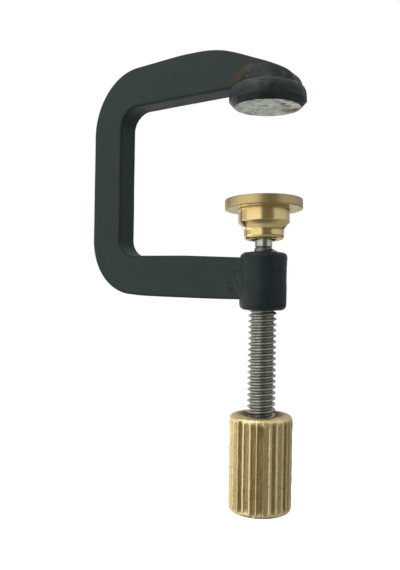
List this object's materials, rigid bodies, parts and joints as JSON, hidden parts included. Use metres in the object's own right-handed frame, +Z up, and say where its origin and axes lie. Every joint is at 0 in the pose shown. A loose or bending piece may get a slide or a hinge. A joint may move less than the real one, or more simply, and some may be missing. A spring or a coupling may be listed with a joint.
{
  "type": "g-clamp",
  "caption": "Small steel G-clamp with a flat-bar frame, round anvil pad, swivelling brass foot on a fine screw, and a fluted brass thumb knob.",
  "frame": {"origin": "where the screw axis meets the anvil pad's bare steel face", "axes": "+Z up the screw axis, from the knob towards the anvil; +X along the arms, away from the spine; +Y across the bar, away from the side in the picture"},
  "size_m": [0.0551, 0.0177, 0.1048],
  "materials": {
    "black_paint": "satin, worn at the edges",
    "pad_paint": "satin sides with a bare ground face",
    "boss_paint": "satin",
    "braze": "rusty, part painted",
    "screw_steel": "dull, oiled",
    "bare_steel": "polished",
    "brass": "turned, lightly tarnished",
    "knob_brass": "tarnished"
  },
  "bodies": {
    "frame": {"frame_bar": "black_paint", "anvil_pad": "pad_paint", "anvil_braze": "braze", "boss_sleeve": "boss_paint", "boss_braze": "boss_paint"},
    "ball": {"swivel_ball": "bare_steel"},
    "screw": {"clamp_screw": "screw_steel", "thumb_knob": "knob_brass"},
    "ring": {"retaining_ring": "bare_steel"},
    "foot": {"foot_body": "brass"}
  },
  "joints": [
    {"name": "screw_advance", "type": "slide", "parent": "frame", "child": "ball", "axis": [0, 0, 1], "range_m": [-0.0014, 0.0191]},
    {"name": "knob_turn", "type": "hinge", "parent": "ball", "child": "screw", "pos_m": [0, 0, -0.0266], "axis": [0, 0, 1], "range_deg": [-396.85, 5414.17]},
    {"name": "foot_tilt", "type": "hinge", "parent": "ball", "child": "ring", "pos_m": [0, 0, -0.0266], "axis": [0.7071, 0.7071, 0], "range_deg": [-4.8, 11.2]},
    {"name": "foot_spin", "type": "hinge", "parent": "ring", "child": "foot", "pos_m": [0, 0, -0.0266], "axis": [-0.0395, 0.0395, 0.9984], "continuous": true}
  ],
  "couplings": [
    {"joint": "knob_turn", "follows": "screw_advance", "rad_per_m": 4947.4}
  ]
}
